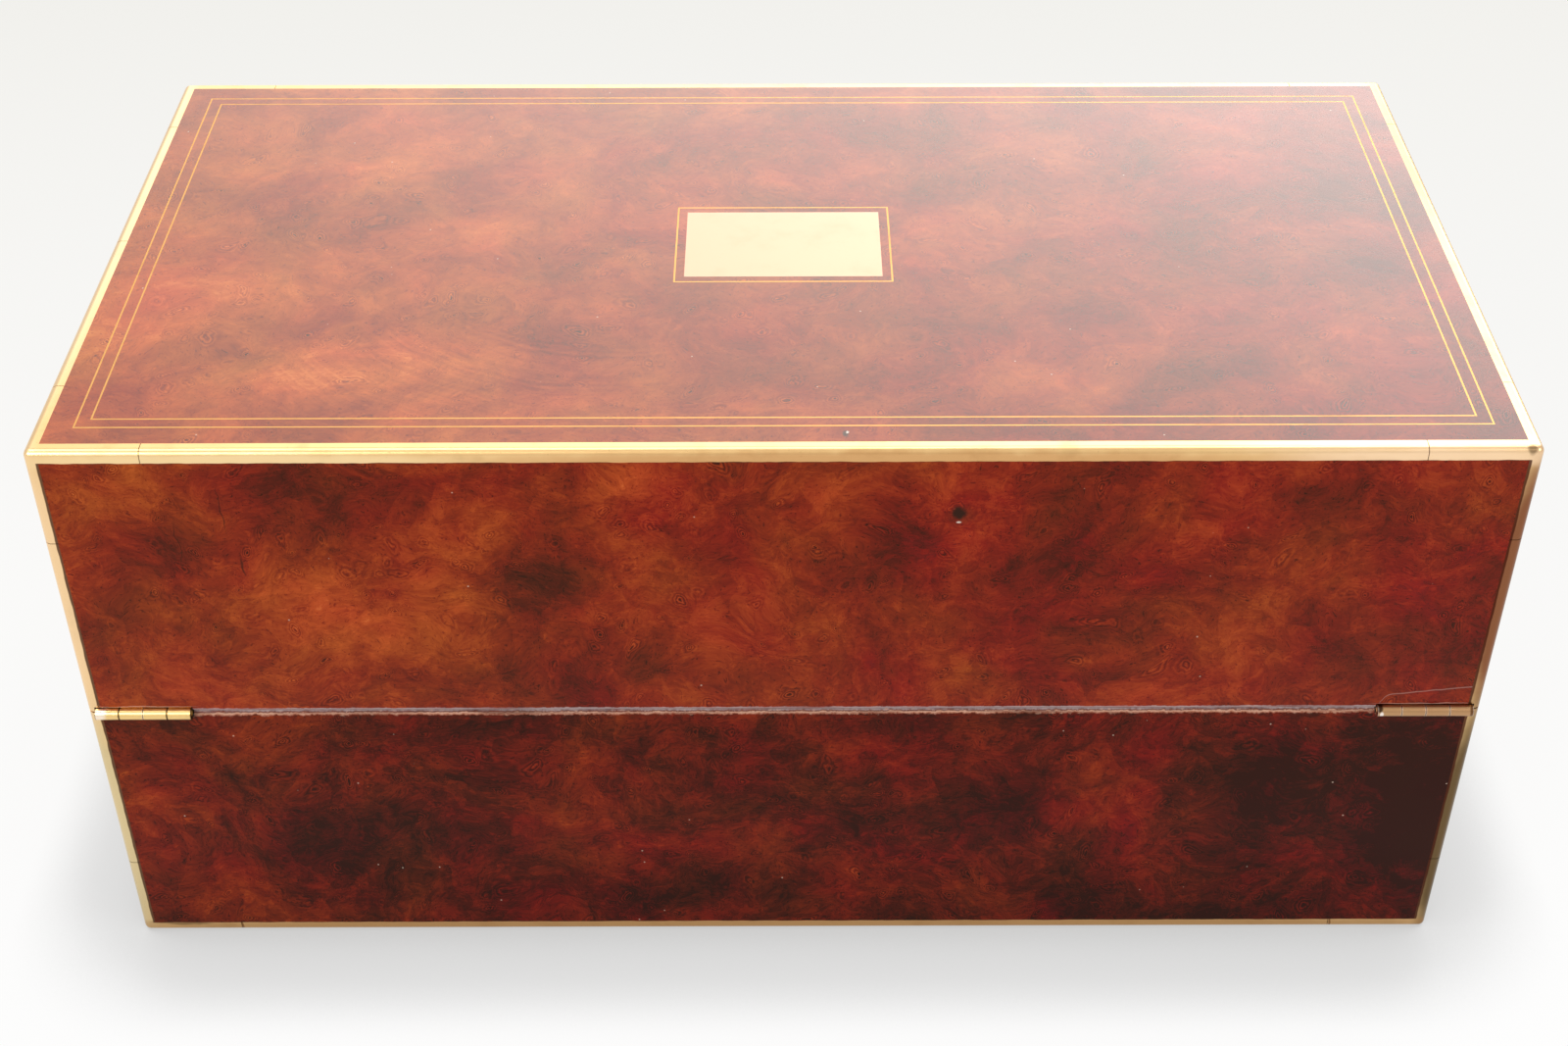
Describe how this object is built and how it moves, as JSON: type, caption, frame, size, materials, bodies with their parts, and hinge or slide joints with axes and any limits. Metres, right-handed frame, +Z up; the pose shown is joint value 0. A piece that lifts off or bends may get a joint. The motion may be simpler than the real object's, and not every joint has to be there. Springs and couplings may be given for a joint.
{
  "type": "writing slope",
  "caption": "Closed portable writing slope, burr veneered and brass bound, with a hinged lid, leather writing flaps, pen tray, glass inkwells and a box lock.",
  "frame": {"origin": "on the surface that the box stands on, under the middle of the closed box, hinge barrels included", "axes": "+Z up; +X along the hinges, to the right as seen from the hinge side; +Y from the hinge side to the lock side"},
  "size_m": [0.406, 0.2143, 0.188],
  "materials": {
    "burr_veneer": "french polished burr veneer",
    "mahogany": "plain mahogany, waxed",
    "flap_banding": "polished banding round the leather",
    "pen_tray_wood": "polished mahogany",
    "writing_leather": "dark green skiver with a gilt line",
    "baize": "green wool baize",
    "edge_brass": "polished angle strip",
    "inlay_brass": "polished flush inlay",
    "hinge_brass": "polished drawn brass",
    "fittings_brass": "satin brass",
    "spring_steel": "blued spring steel",
    "inkwell_glass": "clear cut glass"
  },
  "bodies": {
    "base": {"base_bottom": "mahogany", "base_hinge_wall": "mahogany", "base_lock_wall": "mahogany", "base_left_wall": "mahogany", "base_right_wall": "mahogany", "base_hinge_veneer": "burr_veneer", "base_lock_veneer": "burr_veneer", "base_side_veneers": "burr_veneer", "base_baize": "baize", "base_edge_strips": "edge_brass", "base_corner_brasses": "edge_brass", "base_hinge_leaves": "hinge_brass", "hinge_pins": "hinge_brass", "base_hinge_screws": "hinge_brass", "base_flap_board": "flap_banding", "base_flap_leather": "writing_leather", "base_flap_ledges": "mahogany", "base_catch_plate": "fittings_brass", "pen_section_division": "mahogany", "ink_bay_divisions": "mahogany", "ink_bay_floors": "mahogany", "pen_tray_shelf": "mahogany", "lock_case": "fittings_brass", "lock_cap_plate": "fittings_brass", "lock_spring": "spring_steel", "lock_screws": "fittings_brass", "keyhole_escutcheon": "inlay_brass"},
    "lid": {"lid_top": "mahogany", "lid_hinge_wall": "mahogany", "lid_lock_wall": "mahogany", "lid_left_wall": "mahogany", "lid_right_wall": "mahogany", "lid_top_veneer": "burr_veneer", "lid_hinge_veneer": "burr_veneer", "lid_lock_veneer": "burr_veneer", "lid_side_veneers": "burr_veneer", "lid_stringing": "inlay_brass", "plate_border": "inlay_brass", "name_plate": "inlay_brass", "lid_edge_strips": "edge_brass", "lid_corner_brasses": "edge_brass", "lid_hinge_leaves": "hinge_brass", "lid_hinge_screws": "hinge_brass", "lid_division": "mahogany", "lid_flap_board": "flap_banding", "lid_flap_leather": "writing_leather", "lid_flap_ledges": "mahogany", "lid_catch_plate": "fittings_brass", "link_plate": "fittings_brass", "link_plate_screws": "fittings_brass"},
    "bolt": {"lock_bolt": "fittings_brass"},
    "base_catch": {"base_flap_catch": "fittings_brass"},
    "lid_catch": {"lid_flap_catch": "fittings_brass"},
    "tray": {"pen_tray": "pen_tray_wood"},
    "left_inkwell": {"inkwell_left": "inkwell_glass", "inkwell_collar_left": "fittings_brass"},
    "right_inkwell": {"inkwell_right": "inkwell_glass", "inkwell_collar_right": "fittings_brass"},
    "left_cap": {"inkwell_cap_left": "fittings_brass"},
    "right_cap": {"inkwell_cap_right": "fittings_brass"}
  },
  "joints": [
    {"name": "lid_hinge", "type": "hinge", "parent": "base", "child": "lid", "pos_m": [0, -0.10535, 0.094], "axis": [1, 0, 0], "range_deg": [0, 180]},
    {"name": "lock_bolt_slide", "type": "slide", "parent": "base", "child": "bolt", "axis": [1, 0, 0], "range_m": [0, 0.004]},
    {"name": "base_catch_slide", "type": "slide", "parent": "base", "child": "base_catch", "axis": [0, -0.9719, -0.2356], "range_m": [0, 0.0045]},
    {"name": "lid_catch_slide", "type": "slide", "parent": "lid", "child": "lid_catch", "axis": [0, -0.9719, -0.2356], "range_m": [0, 0.0045]},
    {"name": "pen_tray_lift", "type": "slide", "parent": "base", "child": "tray", "axis": [0, 0, 1], "range_m": [0, 0.03]},
    {"name": "left_inkwell_lift", "type": "slide", "parent": "base", "child": "left_inkwell", "axis": [0, 0, 1], "range_m": [0, 0.045]},
    {"name": "left_cap_hinge", "type": "hinge", "parent": "left_inkwell", "child": "left_cap", "pos_m": [-0.172, 0.08875, 0.12315], "axis": [-1, 0, 0], "range_deg": [0, 90]},
    {"name": "right_inkwell_lift", "type": "slide", "parent": "base", "child": "right_inkwell", "axis": [0, 0, 1], "range_m": [0, 0.045]},
    {"name": "right_cap_hinge", "type": "hinge", "parent": "right_inkwell", "child": "right_cap", "pos_m": [0.172, 0.08875, 0.12315], "axis": [-1, 0, 0], "range_deg": [0, 90]}
  ]
}
